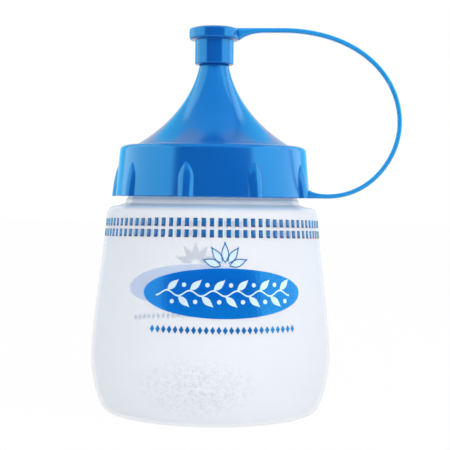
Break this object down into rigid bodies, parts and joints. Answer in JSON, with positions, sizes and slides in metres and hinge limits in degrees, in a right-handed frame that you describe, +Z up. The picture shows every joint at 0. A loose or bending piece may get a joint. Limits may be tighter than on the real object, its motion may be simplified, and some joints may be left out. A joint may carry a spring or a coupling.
{
  "type": "squeeze sauce bottle",
  "caption": "Translucent squeeze bottle with a screw lid, a pouring nozzle and a small tip cap tied on by a strap.",
  "frame": {"origin": "centre of the foot, on the surface that the bottle stands on, on the upright axis of the bottle", "axes": "+Z up along the bottle's axis, +X towards the strap, +Y completes the right-handed frame"},
  "size_m": [0.1101, 0.086, 0.1378],
  "materials": {
    "bottle": "translucent blown polypropylene with a soft satin gloss",
    "closure": "glossy injection-moulded polypropylene, blue",
    "seal": "matte white silicone"
  },
  "bodies": {
    "bottle": {"bottle": "bottle"},
    "sealing_ring": {"sealing_ring": "seal"},
    "lid": {"lid": "closure"},
    "strap": {"strap": "closure"},
    "tip_cap": {"tip_cap": "closure"}
  },
  "joints": [
    {"name": "lid_rise", "type": "slide", "parent": "bottle", "child": "sealing_ring", "axis": [0, 0, 1], "range_m": [0, 0.018]},
    {"name": "lid_turn", "type": "hinge", "parent": "sealing_ring", "child": "lid", "pos_m": [0, 0, 0.091], "axis": [0, 0, 1], "range_deg": [0, 1080]},
    {"name": "strap_bend", "type": "hinge", "parent": "lid", "child": "strap", "pos_m": [0.0665, 0, 0.10355], "axis": [0, 1, 0], "range_deg": [0, 72.1], "deforming": ["strap"]},
    {"name": "cap_swing", "type": "hinge", "parent": "strap", "child": "tip_cap", "pos_m": [0.048, 0, 0.1319], "axis": [0, 1, 0], "range_deg": [0, 90], "deforming": ["strap"]}
  ],
  "couplings": [
    {"joint": "lid_rise", "follows": "lid_turn", "m_per_rad": 0.00095492},
    {"joint": "strap_bend", "follows": "cap_swing", "ratio": 0.8}
  ]
}
